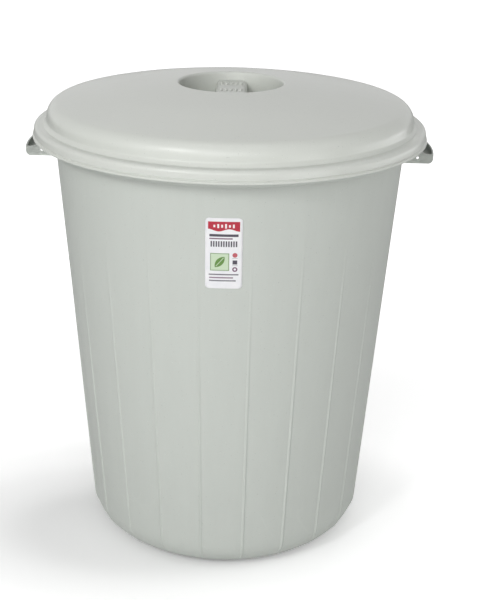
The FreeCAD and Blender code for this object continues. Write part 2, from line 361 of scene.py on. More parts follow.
def back_of(path, thickness):
    """The hidden face of a skin: the path moved to its right, with matching roundings."""
    runs = [shifted(start, end, thickness) for start, end in zip(path, path[1:])]
    back = [(*runs[0][0], 0)]
    for index in range(1, len(path) - 1):
        before, here, after = path[index - 1], path[index], path[index + 1]
        turn = (here[0] - before[0]) * (after[1] - here[1])
        turn -= (here[1] - before[1]) * (after[0] - here[0])
        rounding = here[2] + math.copysign(thickness, turn)
        back.append((*crossing(runs[index - 1], runs[index]), max(rounding, 0)))
    back.append((*runs[-1][1], 0))
    return back[::-1]


def raised(corner, level):
    """A corner of a section whose height is given as a rise over a level."""
    radius, rise, rounding = corner
    return radius, level + rise, rounding


def rounded(corners):
    """Points along a section of (radius, height, rounding) corners, with arcs at its roundings."""
    points = []
    for index, (radius, height, rounding) in enumerate(corners):
        here = Vector((radius, height))
        if rounding == 0 or index in (0, len(corners) - 1):
            points.append((radius, height))
            continue
        before = (Vector(corners[index - 1][:2]) - here).normalized()
        after = (Vector(corners[index + 1][:2]) - here).normalized()
        half = before.angle(after) / 2
        centre = here + (before + after).normalized() * (rounding / math.sin(half))
        start = here + before * (rounding / math.tan(half)) - centre
        turn = start.angle_signed(here + after * (rounding / math.tan(half)) - centre)
        steps = max(2, math.ceil(abs(turn) / ARC_STEP))
        for step in range(steps + 1):
            swing = Matrix.Rotation(-turn * step / steps, 2)
            point = centre + swing @ start
            points.append((point.x, point.y))
    return points


def with_steps(points, longest):
    """The same points with long runs divided."""
    divided = [points[0]]
    for start, end in zip(points, points[1:]):
        parts = max(1, math.ceil(math.dist(start, end) / longest))
        for part in range(1, parts + 1):
            share = part / parts
            radius = start[0] + (end[0] - start[0]) * share
            divided.append((radius, start[1] + (end[1] - start[1]) * share))
    return divided


def set_camera():
    """Camera at the photograph's viewpoint."""
    data = bpy.data.cameras.new("camera")
    camera = bpy.data.objects.new("camera", data)
    bpy.context.scene.collection.objects.link(camera)
    data.sensor_width = SENSOR_SIZE
    data.lens = CAMERA_FOCAL_PIXELS * SENSOR_SIZE / IMAGE_HEIGHT
    data.clip_end = VIEW_REACH
    turn = Matrix.Rotation(-CAMERA_HEADING, 4, "Z")
    turn = turn @ Matrix.Rotation(math.pi / 2 - CAMERA_TILT, 4, "X")
    turn = turn @ Matrix.Rotation(CAMERA_ROLL, 4, "Z")
    camera.matrix_world = Matrix.Translation(CAMERA_PLACE) @ turn
    bpy.context.scene.camera = camera


def mesh_piece(name, mesh_data, body, slot_name, material, *nodes):
    """A finished piece that rides a body and stands for CAD nodes."""
    mesh = bpy.data.meshes.new(name)
    mesh_data.normal_update()
    mesh_data.to_mesh(mesh)
    mesh_data.free()
    piece = bpy.data.objects.new(name, mesh)
    bpy.context.scene.collection.objects.link(piece)
    mesh.shade_smooth()
    mesh.materials.append(material)
    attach(piece, body)
    if nodes:
        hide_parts(*nodes)
    return piece


def soften(piece, width, steps, least_angle=28):
    """Rounded edges where the faces of a piece meet at more than an angle in degrees."""
    bevel = piece.modifiers.new("soft_edges", "BEVEL")
    bevel.width = width * MM
    bevel.segments = steps
    bevel.limit_method = "ANGLE"
    bevel.angle_limit = math.radians(least_angle)
    bevel.harden_normals = True


def vertex_round_axis(work, angle, reach, height):
    """Vertex at an angle from the front, towards +X, and a distance from the Z axis."""
    return work.verts.new((reach * math.sin(angle) * MM, -reach * math.cos(angle) * MM, height * MM))


def join_rings(work, ring_a, ring_b):
    """Band of faces between two closed rings that have as many vertices."""
    for index in range(len(ring_a)):
        work.faces.new((ring_a[index - 1], ring_a[index], ring_b[index], ring_b[index - 1]))


def join_rows(work, rows):
    """Sheet of faces over rows that have as many vertices."""
    for low, high in zip(rows, rows[1:]):
        for index in range(len(low) - 1):
            work.faces.new((low[index], low[index + 1], high[index + 1], high[index]))


def turned(section, columns, place):
    """A bmesh turned round Z from a section that starts and ends on the axis.

    place(row, column) gives the angle and the radius at a point of the section.
    """
    work = bmesh.new()
    rings = []
    for row, (radius, height) in enumerate(section):
        if radius < ON_AXIS:
            rings.append([work.verts.new((0, 0, height * MM))])
            continue
        rings.append([vertex_round_axis(work, *place(row, column), height) for column in range(columns)])
    for lower, upper in zip(rings, rings[1:]):
        for column in range(columns):
            after = (column + 1) % columns
            corners = [
                lower[column % len(lower)],
                lower[after % len(lower)],
                upper[after % len(upper)],
                upper[column % len(upper)],
            ]
            corners = list(dict.fromkeys(corners))
            if len(corners) > 2:
                work.faces.new(corners)
    bmesh.ops.recalc_face_normals(work, faces=work.faces)
    return work


def rib_directions():
    """Rib directions in degrees from the front, towards +X."""
    first = -(RIBS_PER_FACE - 1) * RIB_PITCH / 2
    row = [first + RIB_PITCH * index for index in range(RIBS_PER_FACE)]
    return sorted(row + [90] + [180 + angle for angle in row] + [270])


def tub_columns():
    """Columns round the tub as (direction in radians, sideways offset, rib share)."""
    ribs = rib_directions()
    side_shares = [step / RIB_SIDE_STEPS for step in range(-RIB_SIDE_STEPS, RIB_SIDE_STEPS + 1)]
    columns = []
    for rib, following in zip(ribs, ribs[1:] + [ribs[0] + 360]):
        for side_share in [-RIB_APRON_SHARE] + side_shares + [RIB_APRON_SHARE]:
            share = math.cos(math.pi / 2 * min(1, abs(side_share))) ** 2
            columns.append((math.radians(rib), side_share * RIB_HALF_WIDTH, share))
        for part in range(1, GAPS_BETWEEN_RIBS):
            columns.append((math.radians(rib + (following - rib) * part / GAPS_BETWEEN_RIBS), 0, 0))
    return columns


def rib_fade(radius, height):
    """Share of the full rib height at a point of the outer wall."""
    if height >= WALL_START:
        return min(1, max(0, (RIB_TOP - height) / (RIB_TOP - RIB_FULL_TO)))
    angle = math.atan2(CORNER_RADIUS - height, radius - FOOT_RADIUS)
    return max(0, 1 - ((angle - WALL_LEAN) / (RIB_HEEL_ANGLE - WALL_LEAN)) ** 2)


def tub_outline():
    """Corners of the tub's section, from the underside's middle up, over the rim and down the bore."""
    ring_inner = FOOT_RADIUS - FOOT_RING_WIDTH
    bore = MOUTH_RADIUS - WALL / math.cos(WALL_LEAN)
    bore_foot = HEEL_RADIUS - WALL / math.cos(WALL_LEAN)
    inner_corner = crossing(((bore, SHELF_UNDERSIDE), (bore_foot, 0)), ((0, WALL), (HEEL_RADIUS, WALL)))
    return [
        (0, FOOT_RING_HEIGHT, 0),
        (ring_inner - FOOT_RING_HEIGHT, FOOT_RING_HEIGHT, FOOT_STEP_ROUND),
        (ring_inner, 0, FOOT_STEP_ROUND),
        (HEEL_RADIUS, 0, CORNER_RADIUS),
        (MOUTH_RADIUS, SHELF_UNDERSIDE, RIM_EDGE_ROUND),
        (LIP_INNER, SHELF_UNDERSIDE, LIP_ROOT_ROUND),
        (LIP_INNER, LIP_BOTTOM, LIP_EDGE_ROUND),
        (RIM_OUTER, LIP_BOTTOM, RIM_EDGE_ROUND),
        (RIM_OUTER, TUB_HEIGHT, RIM_SHOULDER_ROUND),
        (bore, TUB_HEIGHT, RIM_EDGE_ROUND),
        (*inner_corner, CORNER_RADIUS - WALL),
        (ring_inner, WALL, FOOT_STEP_ROUND),
        (ring_inner - FOOT_RING_HEIGHT, WALL + FOOT_RING_HEIGHT, FOOT_STEP_ROUND),
        (0, WALL + FOOT_RING_HEIGHT, 0),
    ]


def make_tub(material):
    """Ribbed wall, base with its foot ring, and turned-over rim, as one moulding."""
    section = with_steps(rounded(tub_outline()), TUB_ROW_STEP)
    above_ribs = next(row for row, (radius, height) in enumerate(section) if height > RIB_TOP)
    columns = tub_columns()

    def place(row, column):
        radius, height = section[row]
        direction, offset, share = columns[column]
        angle = direction + offset / max(radius, FOOT_RADIUS)
        if row < above_ribs and radius > FOOT_RADIUS:
            radius += RIB_HEIGHT * share * rib_fade(radius, height)
        return angle, radius

    work = turned(section, len(columns), place)
    mesh_piece("tub_shell", work, "tub", "tub_plastic", material, "tub_wall", "tub_base", "tub_rim")


def lid_outline():
    """Corners of the lid's section, from the recess's floor out and down, and back inside."""
    dome = [
        (0, RECESS_FLOOR, 0),
        (RECESS_FLOOR_RADIUS, RECESS_FLOOR, RECESS_FLOOR_ROUND),
        (RECESS_RADIUS, LID_TOP, RECESS_ROUND),
        raised(CROWN_BEND, LID_TOP),
    ]
    dome += [raised(corner, FLANGE_TOP) for corner in (DOME_SHOULDER, DOME_FOOT, LEDGE, GROOVE, FLANGE_EDGE)]
    bead_root = raised(BEAD_ROOT, BEAD_TOP)
    bead_edge = raised(BEAD_EDGE, BEAD_TOP)
    inner = back_of(dome + [bead_root, bead_edge, (SKIRT_RADIUS, SKIRT_BOTTOM, 0)], LID_WALL)
    crease = [raised(corner, BEAD_TOP) for corner in CREASE]
    foot = [(SKIRT_RADIUS, SKIRT_BOTTOM, SKIRT_EDGE_ROUND), (*inner[0][:2], SKIRT_EDGE_ROUND)]
    return dome + crease + [bead_edge] + foot + inner[1:]


def make_lid(material):
    """Skirt with its bead, flange, ledge, dome and sunk recess, as one moulding."""
    section = with_steps(rounded(lid_outline()), LID_ROW_STEP)
    section[-1] = (0, section[-1][1])

    def place(row, column):
        return 2 * math.pi * column / LID_COLUMNS, section[row][0]

    work = turned(section, LID_COLUMNS, place)
    mesh_piece("lid_shell", work, "lid", "lid_plastic", material, "lid_rim", "lid_dome", "lid_recess")


def grip_section():
    """Section of the grip bar, as (across, up) points from the lower left."""
    half = GRIP_WIDTH / 2
    return rounded([
        (-half - GRIP_FLARE, RECESS_FLOOR - GRIP_SINK, 0),
        (-half, GRIP_TOP, GRIP_ROUND),
        (half, GRIP_TOP, GRIP_ROUND),
        (half + GRIP_FLARE, RECESS_FLOOR - GRIP_SINK, 0),
    ])


def make_grip(material):
    """Arched bar from one side of the recess to the other, let into its floor and side."""
    work = bmesh.new()
    section = with_steps(grip_section(), GRIP_ROW_STEP)
    rows = []
    for station in range(GRIP_STATIONS + 1):
        share = 2 * station / GRIP_STATIONS - 1
        row = []
        for across, up in section:
            end = math.sqrt(max(0, (recess_radius(up) + GRIP_BITE) ** 2 - across ** 2))
            row.append(work.verts.new((across * MM, share * end * MM, up * MM)))
        rows.append(row)
    join_rows(work, rows)
    for row in (rows[0], rows[-1]):
        work.faces.new(row)
    sole = [row[0] for row in rows] + [row[-1] for row in reversed(rows)]
    work.faces.new(sole)
    bmesh.ops.recalc_face_normals(work, faces=work.faces)
    mesh_piece("grip_bar", work, "lid", "lid_plastic", material, "lid_grip")


def grip_stud(work, across, along):
    """Raised lozenge with a flat top and sloping sides on the grip bar."""
    rings = []
    for drawn_in, rise in STUD_LEVELS:
        half_width = (STUD_WIDTH - drawn_in) / 2
        half_length = (STUD_LENGTH - drawn_in) / 2
        level = (GRIP_TOP + rise) * MM
        corners = ((half_width, 0), (0, half_length), (-half_width, 0), (0, -half_length))
        rings.append([work.verts.new(((across + x) * MM, (along + y) * MM, level)) for x, y in corners])
    for low, high in zip(rings, rings[1:]):
        join_rings(work, low, high)
    work.faces.new(rings[-1])
    work.faces.new(rings[0][::-1])


def make_grip_studs(material):
    """Three double rows of raised lozenges for a firm hold."""
    work = bmesh.new()
    for along in (-STUD_ROW_SPACING, 0, STUD_ROW_SPACING):
        for line in (-1, 1):
            for place in range(STUDS_IN_LINE):
                across = (place - (STUDS_IN_LINE - 1) / 2) * STUD_SPACING
                grip_stud(work, across, along + line * STUD_LINE_GAP / 2)
    bmesh.ops.recalc_face_normals(work, faces=work.faces)
    piece = mesh_piece("grip_studs", work, "lid", "lid_plastic", material)
    soften(piece, STUD_EDGE_ROUND, steps=2)


def with_corner_at(outline, radius, level_sign):
    """Index of a point at a radius on an outline, put in where the outline crosses it."""
    for index, (start, end) in enumerate(zip(outline, outline[1:])):
        crosses = (start[0] - radius) * (end[0] - radius) < 0
        if crosses and (end[0] - start[0]) * level_sign > 0:
            share = (radius - start[0]) / (end[0] - start[0])
            outline.insert(index + 1, (radius, start[1] + (end[1] - start[1]) * share))
            return index + 1
    raise ValueError("the outline doesn't reach that radius")


def cheek_outline():
    """Side view of a handle's cheek as (radius, height), from the wall up, out and down."""
    return rounded([
        (wall_radius(HANDLE_BOTTOM) + HANDLE_GAP, HANDLE_BOTTOM, 0),
        (MOUTH_RADIUS + HANDLE_GAP, SHELF_UNDERSIDE, 0),
        (LIP_INNER - HANDLE_GAP, SHELF_UNDERSIDE, 0),
        (LIP_INNER - HANDLE_GAP, LIP_BOTTOM, 0),
        (RIM_OUTER - CHEEK_INSET, LIP_BOTTOM, 0),
        (RIM_OUTER + CHEEK_TOE, BAR_TOP, CHEEK_SWEEP),
        (HANDLE_REACH, BAR_TOP, 0),
        (HANDLE_REACH, HANDLE_BOTTOM, HANDLE_ROUND),
        (wall_radius(HANDLE_BOTTOM) + HANDLE_GAP, HANDLE_BOTTOM, 0),
    ])[:-1]


def trough_path():
    """Inside of the bar's channel as (radius, height), from its outer top edge to its foot."""
    outer = HANDLE_REACH - BAR_WALL
    inner = HANDLE_REACH - BAR_WIDTH
    floor = HANDLE_BOTTOM + BAR_WALL
    return rounded([
        (outer, BAR_TOP, 0),
        (outer, floor, HANDLE_ROUND - BAR_WALL),
        (inner + BAR_WALL, floor, 0),
        (inner + BAR_WALL, BAR_TOP, 0),
        (inner, BAR_TOP, 0),
        (inner, HANDLE_BOTTOM, 0),
    ])[1:-1]


def handle_ring(work, side, points, y):
    """Vertices where a turned (radius, height) line meets the plane at y, on the side of X given."""
    ring = []
    for radius, height in points:
        x = side * math.sqrt(radius ** 2 - y ** 2)
        ring.append(work.verts.new((x * MM, y * MM, height * MM)))
    return ring


def tie_hole_ring(work, side, y):
    """Vertices round the tie hole in one face of a cheek."""
    ring = []
    for step in range(TIE_HOLE_SIDES):
        swing = 2 * math.pi * step / TIE_HOLE_SIDES
        x = side * (TIE_HOLE[0] + TIE_HOLE_RADIUS * math.cos(swing))
        z = TIE_HOLE[1] + TIE_HOLE_RADIUS * math.sin(swing)
        ring.append(work.verts.new((x * MM, y * MM, z * MM)))
    return ring


def fill_round_hole(work, outer_ring, hole_ring):
    """Flat faces between a ring and a hole in it."""
    edges = []
    for ring in (outer_ring, hole_ring):
        for index in range(len(ring)):
            pair = (ring[index - 1], ring[index])
            edges.append(work.edges.get(pair) or work.edges.new(pair))
    made = bmesh.ops.triangle_fill(work, use_beauty=True, use_dissolve=True, edges=edges)
    return [item for item in made["geom"] if isinstance(item, bmesh.types.BMFace)]


def make_cheek(work, side, end, outline, trough, first, last):
    """One cheek with its hole. Gives its outer field and the ring that the bar starts from."""
    outer_y = end * HANDLE_HALF_WIDTH
    inner_y = end * BAR_HALF_LENGTH
    outside = handle_ring(work, side, outline, outer_y)
    inside = handle_ring(work, side, outline, inner_y)
    inside_trough = handle_ring(work, side, trough, inner_y)
    join_rings(work, outside, inside)
    hole_outside = tie_hole_ring(work, side, outer_y)
    hole_inside = tie_hole_ring(work, side, inner_y)
    join_rings(work, hole_outside, hole_inside)
    field = fill_round_hole(work, outside, hole_outside)
    fill_round_hole(work, inside[:first + 1] + inside_trough + inside[last:], hole_inside)
    return field, inside[first:last + 1] + inside_trough[::-1]


def make_bar(work, side, section, start, finish):
    """Channel bar between the cheeks' rings, which follows the rim's curve."""
    low = start
    for step in range(1, BAR_STATIONS + 1):
        high = finish
        if step < BAR_STATIONS:
            high = handle_ring(work, side, section, BAR_HALF_LENGTH * (2 * step / BAR_STATIONS - 1))
        join_rings(work, low, high)
        low = high


def sink_fields(work, fields):
    """Lowers the cheeks' fields inside a border that stays level along their edge and hole."""
    bmesh.ops.recalc_face_normals(work, faces=work.faces)
    bmesh.ops.inset_region(work, faces=fields, thickness=CHEEK_BORDER * MM, use_even_offset=True)
    step = CHEEK_SINK * MM
    bmesh.ops.inset_region(work, faces=fields, thickness=step, depth=-step, use_even_offset=True)


def make_handle(name, side, material, *nodes):
    """Two cheeks with a hole each, joined by a channel bar."""
    outline = cheek_outline()
    outline.append(outline[0])
    first = with_corner_at(outline, HANDLE_REACH - BAR_WALL, 1)
    last = with_corner_at(outline, HANDLE_REACH - BAR_WIDTH, -1)
    outline.pop()
    trough = trough_path()
    work = bmesh.new()
    rear_field, rear_ring = make_cheek(work, side, -1, outline, trough, first, last)
    front_field, front_ring = make_cheek(work, side, 1, outline, trough, first, last)
    make_bar(work, side, outline[first:last + 1] + trough[::-1], rear_ring, front_ring)
    sink_fields(work, rear_field + front_field)
    piece = mesh_piece(name, work, "tub", "tub_plastic", material, *nodes)
    soften(piece, HANDLE_EDGE_ROUND, steps=3, least_angle=60)


def label_levels():
    """Levels up the label from its middle, close together at its rounded corners."""
    half = LABEL_HEIGHT / 2
    corner = []
    for step in range(LABEL_CORNER_STEPS + 1):
        swing = math.pi / 2 * step / LABEL_CORNER_STEPS
        corner.append(-half + LABEL_CORNER * (1 - math.cos(swing)))
    length = LABEL_HEIGHT - 2 * LABEL_CORNER
    straight = [-half + LABEL_CORNER + length * step / LABEL_STEPS for step in range(1, LABEL_STEPS)]
    return corner + straight + [-level for level in corner[::-1]]


def label_rows(work, stand_off):
    """Rows of vertices on one face of the label."""
    rows = []
    for level in label_levels():
        past = max(0, abs(level) - (LABEL_HEIGHT / 2 - LABEL_CORNER))
        inset = LABEL_CORNER - math.sqrt(max(0, LABEL_CORNER ** 2 - past ** 2))
        height = LABEL_MIDDLE + level * math.cos(WALL_LEAN)
        reach = wall_radius(height) + stand_off
        row = []
        for step in range(LABEL_STEPS + 1):
            across = LABEL_OFFSET + (LABEL_WIDTH / 2 - inset) * (2 * step / LABEL_STEPS - 1)
            row.append(vertex_round_axis(work, across / reach, reach, height))
        rows.append(row)
    return rows


def edge_of(rows):
    """Vertices round the edge of a sheet of rows."""
    right = [row[-1] for row in rows[:-1]]
    left = [row[0] for row in rows[:0:-1]]
    return rows[0][:-1] + right + rows[-1][:0:-1] + left


def make_label(material):
    """Thin curved sheet on the wall, with rounded corners."""
    work = bmesh.new()
    inner, outer = [label_rows(work, stand_off) for stand_off in LABEL_FACES]
    join_rows(work, inner)
    join_rows(work, outer)
    join_rings(work, edge_of(inner), edge_of(outer))
    bmesh.ops.recalc_face_normals(work, faces=work.faces)
    mesh_piece("label_sheet", work, "tub", "label_film", material, "label")


class Bench:
    """Adds nodes to one node tree and wires them with short calls."""

    def __init__(self, tree):
        self.tree = tree

    def add(self, kind, **settings):
        node = self.tree.nodes.new("ShaderNode" + kind)
        for name, value in settings.items():
            setattr(node, name, value)
        return node

    def feed(self, socket, value):
        """Links a socket to another one, or sets its own value."""
        if isinstance(value, bpy.types.NodeSocket):
            self.tree.links.new(value, socket)
        else:
            socket.default_value = value

    def feed_all(self, node, **values):
        """Feeds a node's inputs by name, where _ stands for a space."""
        for name, value in values.items():
            self.feed(node.inputs[name.replace("_", " ")], value)

    def math(self, operation, *values, clamp=False):
        node = self.add("Math", operation=operation, use_clamp=clamp)
        for socket, value in zip(node.inputs, values):
            self.feed(socket, value)
        return node.outputs["Value"]

    def span(self, value, start, end, low=0.0, high=1.0):
        """Turns a value between start and end into one between low and high, held at the ends."""
        node = self.add("MapRange")
        self.feed_all(node, Value=value, From_Min=start, From_Max=end, To_Min=low, To_Max=high)
        return node.outputs["Result"]

    def smooth_span(self, value, start, end, low=0.0, high=1.0):
        """The same as span, with soft ends."""
        result = self.span(value, start, end, low, high)
        result.node.interpolation_type = "SMOOTHSTEP"
        return result

    def joined(self, x, y, z):
        node = self.add("CombineXYZ")
        self.feed_all(node, X=x, Y=y, Z=z)
        return node.outputs["Vector"]

    def place(self):
        """Place on the piece in metres, as three sockets."""
        node = self.add("SeparateXYZ")
        self.feed(node.inputs["Vector"], self.add("TexCoord").outputs["Object"])
        return node.outputs["X"], node.outputs["Y"], node.outputs["Z"]

    def length(self, x, y):
        """Length of a line that goes x across and y up."""
        squares = self.math("ADD", self.math("MULTIPLY", x, x), self.math("MULTIPLY", y, y))
        return self.math("SQRT", squares)

    def noise(self, where, scale, detail, roughness=0.5):
        node = self.add("TexNoise")
        self.feed_all(node, Vector=where, Scale=scale, Detail=detail, Roughness=roughness)
        return node.outputs["Fac"]

    def mixed(self, share, first, second):
        """Colour between two colours."""
        node = self.add("Mix", data_type="RGBA")
        sockets = {socket.identifier: socket for socket in node.inputs}
        self.feed(sockets["Factor_Float"], share)
        self.feed(sockets["A_Color"], first)
        self.feed(sockets["B_Color"], second)
        return next(socket for socket in node.outputs if socket.identifier == "Result_Color")

    def relief(self, height, strength, distance):
        """Normal of a surface whose relief is at most a distance in millimetres deep."""
        node = self.add("Bump")
        self.feed_all(node, Height=height, Strength=strength, Distance=distance * MM)
        return node.outputs["Normal"]

    def group(self, tree, **values):
        """Places a node group with its inputs set by name."""
        node = self.add("Group", node_tree=tree)
        self.feed_all(node, **values)
        return node.outputs


def new_material(name):
    """Material with its bench and its own shader."""
    material = bpy.data.materials.new(name)
    material.use_nodes = True
    return material, Bench(material.node_tree), material.node_tree.nodes["Principled BSDF"]


def new_group(name, inputs, outputs):
    """Node group with number inputs, each with its value, and number outputs."""
    tree = bpy.data.node_groups.new(name, "ShaderNodeTree")
    for label, value in inputs.items():
        socket = tree.interface.new_socket(label, in_out="INPUT", socket_type="NodeSocketFloat")
        socket.default_value = value
    for label in outputs:
        tree.interface.new_socket(label, in_out="OUTPUT", socket_type="NodeSocketFloat")
    return Bench(tree), tree.nodes.new("NodeGroupInput").outputs, tree.nodes.new("NodeGroupOutput").inputs


def make_flow_marks():
    """Cloudy tone and faint upright streaks where the plastic flowed up the mould."""
    bench, given, made = new_group("flow_marks", {"Clouds": 0.02, "Streaks": 0.02}, ["Tone"])
    nearest, stretch = 0.01, 0.9
    x, y, z = bench.place()
    outwards = bench.math("MAXIMUM", bench.length(x, y), nearest)
    towards_x = bench.math("DIVIDE", x, outwards)
    towards_y = bench.math("DIVIDE", y, outwards)
    wall_place = bench.joined(towards_x, towards_y, bench.math("MULTIPLY", z, stretch))
    streaks = bench.noise(wall_place, scale=15.0, detail=4.0, roughness=0.6)
    clouds = bench.noise(bench.joined(x, y, z), scale=5.5, detail=3.0, roughness=0.55)
    tone = 1.0
    for pattern, amount in ((streaks, given["Streaks"]), (clouds, given["Clouds"])):
        tone = bench.math("MULTIPLY_ADD", bench.math("SUBTRACT", pattern, 0.5), amount, tone)
    bench.feed(made["Tone"], tone)
    return bench.tree


def make_flecks():
    """Sparse dark and pale flecks, as in plastic with regrind in it."""
    bench, given, made = new_group("flecks", {"Size": 0.0012, "Amount": 0.5}, ["Dark", "Pale"])
    rarest, commoner, edge_width = 0.84, -0.1, 0.05
    move_x, move_z = 3.7, 1.9
    x, y, z = bench.place()
    moved = bench.joined(bench.math("ADD", x, move_x), y, bench.math("ADD", z, move_z))
    scale = bench.math("DIVIDE", 1.0, given["Size"])
    limit = bench.math("MULTIPLY_ADD", given["Amount"], commoner, rarest)
    edge = bench.math("ADD", limit, edge_width)
    for output, where in (("Dark", bench.joined(x, y, z)), ("Pale", moved)):
        bench.feed(made[output], bench.span(bench.noise(where, scale, detail=0.0), limit, edge))
    return bench.tree


def make_mould_skin():
    """Height of the slight grain that a matt mould leaves, and of the soft ripple under it."""
    bench, given, made = new_group("mould_skin", {"Grain": 1.0, "Ripple": 1.0}, ["Height"])
    ripple_height = 6.0
    place = bench.joined(*bench.place())
    grain = bench.noise(place, scale=1500.0, detail=2.0, roughness=0.6)
    grain = bench.math("MULTIPLY", grain, given["Grain"])
    ripple = bench.math("MULTIPLY", bench.noise(place, scale=60.0, detail=1.0), given["Ripple"])
    bench.feed(made["Height"], bench.math("ADD", grain, bench.math("MULTIPLY", ripple, ripple_height)))
    return bench.tree


def make_handling_marks():
    """Fine rub lines and dull patches, densest towards the floor, where a bin is dragged."""
    bench, given, made = new_group(
        "handling_marks", {"Amount": 0.3, "Low": 0.0, "High": 0.3}, ["Lines", "Rubbed"]
    )
    least_weight, line_width, squeeze = 0.25, 0.0028, 0.5
    x, y, z = bench.place()
    weight = bench.span(z, given["Low"], given["High"], 1.0, least_weight)
    patches = bench.noise(bench.joined(x, y, z), scale=9.0, detail=3.0, roughness=0.6)
    patches = bench.span(patches, start=0.5, end=0.68)
    lines = 0.0
    for lean, scale in ((0.6, 11.0), (-0.35, 17.0), (1.7, 8.0)):
        slanted = bench.math("MULTIPLY_ADD", x, lean, z)
        swept = bench.joined(
            bench.math("MULTIPLY", x, squeeze), bench.math("MULTIPLY", y, squeeze), slanted
        )
        middle = bench.math("SUBTRACT", bench.noise(swept, scale, detail=1.5), 0.5)
        line = bench.span(bench.math("ABSOLUTE", middle), 0.0, line_width, 1.0, 0.0)
        lines = bench.math("MAXIMUM", lines, line)
    share = bench.math("MULTIPLY", bench.math("MULTIPLY", weight, given["Amount"]), patches)
    bench.feed(made["Lines"], bench.math("MULTIPLY", lines, share))
    bench.feed(made["Rubbed"], share)
    return bench.tree


def make_painted_shade_and_darkening():
    """Where the plastic is darkened: towards the floor, with painted contact shade at the very foot, and by
    painted shade past the rim and in the lid's recess, off the stud tops.
    """
    bench, given, made = new_group("painted_shade_and_darkening_group", {"Low": 0.1, "Past Rim": 0.0, "Recess": 0.0}, ["Share"])
    x, y, z = bench.place()
    radius = bench.length(x, y)
    patches = bench.noise(bench.joined(x, y, z), scale=24.0, detail=3.0, roughness=0.6)
    patches = bench.span(patches, start=0.3, end=0.7, low=0.75, high=1.25)
    # Painted contact shade at the very foot, on top of the darkening towards the floor
    foot_shade = bench.smooth_span(z, *FOOT_SHADE_HEIGHTS, FOOT_SHADE_STRENGTH, 0.0)
    low_darkening_and_foot_shade = bench.math("ADD", bench.smooth_span(z, *DARKER_LOW_HEIGHTS, 1.0, 0.0), foot_shade)
    low = bench.math("MULTIPLY", low_darkening_and_foot_shade, given["Low"])
    # Painted shade on the handles past the rim, under the lid's skirt
    past_rim = bench.math("MULTIPLY", bench.span(radius, *PAST_RIM_RADII), given["Past Rim"])
    # Painted shade in the recess, left off the grip's stud tops
    below_top = bench.smooth_span(z, *RECESS_HEIGHTS, 1.0, 0.0)
    sunk = bench.math("MULTIPLY", bench.span(radius, *RECESS_RADII, 1.0, 0.0), below_top)
    on_bar = bench.span(radius, *BAR_RADII, 1.0, 0.0)
    on_stud_tops = bench.math("MULTIPLY", on_bar, bench.span(z, *STUD_TOP_HEIGHTS))
    off_stud_tops = bench.math("SUBTRACT", 1.0, on_stud_tops)
    recess = bench.math("MULTIPLY", bench.math("MULTIPLY", sunk, off_stud_tops), given["Recess"])
    most = bench.math("MAXIMUM", bench.math("MAXIMUM", low, past_rim), recess)
    bench.feed(made["Share"], bench.math("MULTIPLY", most, patches))
    return bench.tree


def shade_of(colour, share):
    """A colour made lighter or darker by a share."""
    return tuple(min(1.0, channel * share) for channel in colour) + (1.0,)


def plastic_colour(bench, colour, cloud, fleck, marks, painted_shade_and_darkening):
    """The plastic's colour with clouds, flecks, pale rub lines, painted shade and darkening towards the
    floor.
    """
    shift = bench.math("MULTIPLY_ADD", cloud, CLOUD_CONTRAST, 0.5, clamp=True)
    paint = bench.mixed(shift, *[shade_of(colour, share) for share in CLOUD_SHADES])
    for mask, cover, shade in (
        (fleck["Dark"], FLECK_COVER, DARK_FLECK_SHADE),
        (fleck["Pale"], FLECK_COVER, PALE_FLECK_SHADE),
        (marks["Lines"], RUB_LINE_COVER, RUB_LINE_SHADE),
    ):
        paint = bench.mixed(bench.math("MULTIPLY", mask, cover), paint, shade_of(colour, shade))
    return bench.mixed(painted_shade_and_darkening, paint, shade_of(colour, PAINTED_SHADE_TONE))


def plastic_roughness(bench, roughness, cloud, marks, painted_shade_and_darkening):
    """The plastic's roughness, changed by rubbing, rub lines, clouds, painted shade and darkening towards
    the floor.
    """
    for mask, rise in (
        (marks["Rubbed"], RUBBED_ROUGHNESS),
        (marks["Lines"], RUB_LINE_ROUGHNESS),
        (cloud, CLOUD_ROUGHNESS),
        (painted_shade_and_darkening, DARKENED_PART_ROUGHNESS),
    ):
        roughness = bench.math("MULTIPLY_ADD", mask, rise, roughness)
    return roughness


def moulded_plastic(name, groups, finish):
    """Satin moulded plastic: tone, flecks and painted shade in the colour, marks in the gloss, grain in the
    surface.
    """
    material, bench, shader = new_material(name)
    flow_marks, flecks, mould_skin, handling_marks, painted_shade_and_darkening_group = groups
    fleck_size, fleck_amount, line_depth = 0.0013, 0.5, -0.8
    tone = bench.group(flow_marks, Clouds=finish["clouds"], Streaks=finish["streaks"])["Tone"]
    cloud = bench.math("SUBTRACT", tone, 1.0)
    fleck = bench.group(flecks, Size=fleck_size, Amount=fleck_amount)
    marks = bench.group(handling_marks, Amount=finish["rubbing"], Low=0.0, High=finish["rubbed_height"])
    painted_shade_and_darkening = bench.group(
        painted_shade_and_darkening_group, Low=DARKENING_NEAR_FLOOR, Past_Rim=finish["painted_shade_past_rim"], Recess=finish["painted_shade_in_recess"]
    )["Share"]
    skin = bench.group(mould_skin, Grain=finish["grain"], Ripple=1.0)["Height"]
    height = bench.math("MULTIPLY_ADD", marks["Lines"], line_depth, skin)
    bench.feed_all(
        shader,
        Base_Color=plastic_colour(bench, finish["colour"], cloud, fleck, marks, painted_shade_and_darkening),
        Roughness=plastic_roughness(bench, finish["roughness"], cloud, marks, painted_shade_and_darkening),
        Normal=bench.relief(height, strength=0.35, distance=0.12),
        IOR=1.49,
    )
    return material


